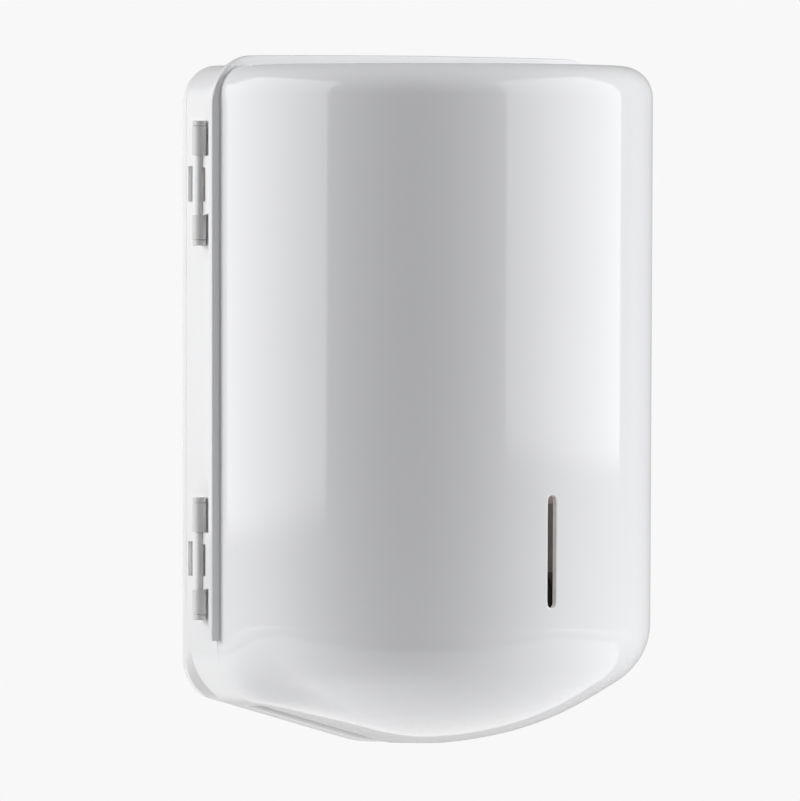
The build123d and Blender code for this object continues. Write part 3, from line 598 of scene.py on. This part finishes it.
# The floor is a square. Seen by the camera it is as pale as the background, and it throws little light back up.
def makeFloor():
    half = ground["half"]
    mesh = bpy.data.meshes.new("floor")
    mesh.from_pydata([(-half, -half, 0), (half, -half, 0), (half, half, 0), (-half, half, 0)], [], [(0, 1, 2, 3)])
    floor = bpy.data.objects.new("floor", mesh)
    floor.location = (0, 0, ground["z"])
    bpy.context.scene.collection.objects.link(floor)
    mat = makeFinish("floor_pale", **ground["finish"])
    mesh.materials.append(mat)
    tree = mat.node_tree
    plain = tree.nodes["Principled BSDF"]
    plain.inputs["Specular IOR Level"].default_value = 0.0
    path = addNode(tree, "LightPath")
    dim = addNode(tree, "BsdfDiffuse", {"Color": ground["dim"]})
    glow = addNode(tree, "Emission", {"Color": (1, 1, 1, 1), "Strength": 1.0})
    share = addNode(tree, "Math", {1: ground["glowShare"]})
    share.operation = "MULTIPLY"
    tree.links.new(path.outputs["Is Camera Ray"], share.inputs[0])
    seen = mixed(tree, share.outputs["Value"], plain.outputs["BSDF"], glow.outputs["Emission"])
    either = mixed(tree, path.outputs["Is Diffuse Ray"], seen, dim.outputs["BSDF"])
    tree.links.new(either, tree.nodes["Material Output"].inputs["Surface"])


print("floor")
makeFloor()

# the camera stands far off at the left of the front; yaw in degrees, aim in millimetres, the rest in metres
look = dict(yaw=35.2, distance=12.0, frameWidth=0.480, aim=(-5.2, -35.3, -0.1), clipEnd=100.0)
yaw = math.radians(look["yaw"])
aim = np.array(look["aim"]) * mm
toCamera = np.array((-math.sin(yaw), -math.cos(yaw), 0.0))

# panels that stand round the part, at an azimuth in degrees from the camera's; sizes in metres
standing = {
    "gloss_left": dict(azimuth=-79.3, distance=1.6, height=0.91, size=(2.3, 2.0), radiance=2.07, diffuse=False),
    "gloss_right": dict(azimuth=79.3, distance=1.6, height=0.94, size=(2.3, 2.0), radiance=1.70, diffuse=False),
    "key_left": dict(azimuth=-80.0, distance=3.0, height=0.3, size=(1.6, 2.6), radiance=6.12, glossy=False),
    "key_right": dict(azimuth=80.0, distance=3.0, height=0.3, size=(1.6, 2.6), radiance=6.93, glossy=False),
    "backdrop": dict(azimuth=180.0, distance=2.0, height=0.2, size=(5.0, 3.0), radiance=0.10, diffuse=False),
}
# panels that lie below and above it, and one inside for the warm light that comes through the thin white walls
under = dict(forward=0.03, lift=0.004, size=(1.4, 0.56), radiance=0.72)
top = dict(spot=(0, -0.08, 1.9), size=(1.0, 1.0), radiance=0.8, glossy=False)
inside = dict(spot=(0, -0.012, 0), size=(0.20, 0.30), radiance=1.1, glossy=False, color=(1.0, 0.82, 0.70))


# A panel of even brightness: its power is its radiance times pi times its area.
def addPanel(name, spot, turn, size, radiance, color=(1, 1, 1), diffuse=True, glossy=True):
    data = bpy.data.lights.new(name, "AREA")
    data.shape = "RECTANGLE"
    data.size, data.size_y = size
    data.energy = radiance * math.pi * size[0] * size[1]
    data.color = color
    lamp = bpy.data.objects.new(name, data)
    lamp.location = spot
    lamp.rotation_euler = turn
    lamp.visible_camera = False
    lamp.visible_diffuse = diffuse
    lamp.visible_glossy = glossy
    bpy.context.scene.collection.objects.link(lamp)


# A standing panel that faces the part: the direction to the camera turned about Z by the azimuth.
def addStanding(name, azimuth, distance, height, **rest):
    a = math.radians(azimuth)
    x = toCamera[0] * math.cos(a) - toCamera[1] * math.sin(a)
    y = toCamera[0] * math.sin(a) + toCamera[1] * math.cos(a)
    spot = (aim[0] + x * distance, aim[1] + y * distance, height)
    addPanel(name, spot, (math.pi / 2, 0, math.atan2(y, x) + math.pi / 2), **rest)


print("lamps")
for name, row in standing.items():
    addStanding(name, **row)
spot = aim + toCamera * under["forward"]
addPanel("under", (spot[0], spot[1], ground["z"] + under["lift"]), (math.pi, 0, -yaw), under["size"],
         under["radiance"])
addPanel("top", turn=(0, 0, -yaw), **top)
addPanel("inside", turn=(-math.pi / 2, 0, 0), **inside)

background = dict(seen=0.9387, fill=0.366)  # level that the camera sees, and level that lights the part


# The camera sees the pale level, and everything else is lit by the fill.
def makeWorld():
    world = bpy.data.worlds.new("studio")
    bpy.context.scene.world = world
    world.use_nodes = True
    tree = world.node_tree
    tree.nodes.clear()
    out = addNode(tree, "OutputWorld")
    path = addNode(tree, "LightPath")
    fill = addNode(tree, "Background", {"Color": (1, 1, 1, 1), "Strength": background["fill"]})
    seen = addNode(tree, "Background", {"Color": (background["seen"],) * 3 + (1,), "Strength": 1.0})
    surface = mixed(tree, path.outputs["Is Camera Ray"], fill.outputs["Background"], seen.outputs["Background"])
    tree.links.new(surface, out.inputs["Surface"])


# A level camera whose frame is as wide as the look says at the aimed distance.
def makeCamera():
    data = bpy.data.cameras.new("camera")
    data.sensor_width = 36.0
    data.lens = data.sensor_width * look["distance"] / look["frameWidth"]
    data.clip_end = look["clipEnd"]
    camera = bpy.data.objects.new("camera", data)
    camera.location = aim + toCamera * look["distance"]
    camera.rotation_euler = (math.pi / 2, 0, -yaw)
    bpy.context.scene.collection.objects.link(camera)
    bpy.context.scene.camera = camera


print("background and camera")
makeWorld()
makeCamera()
bpy.context.scene.view_settings.view_transform = "Standard"
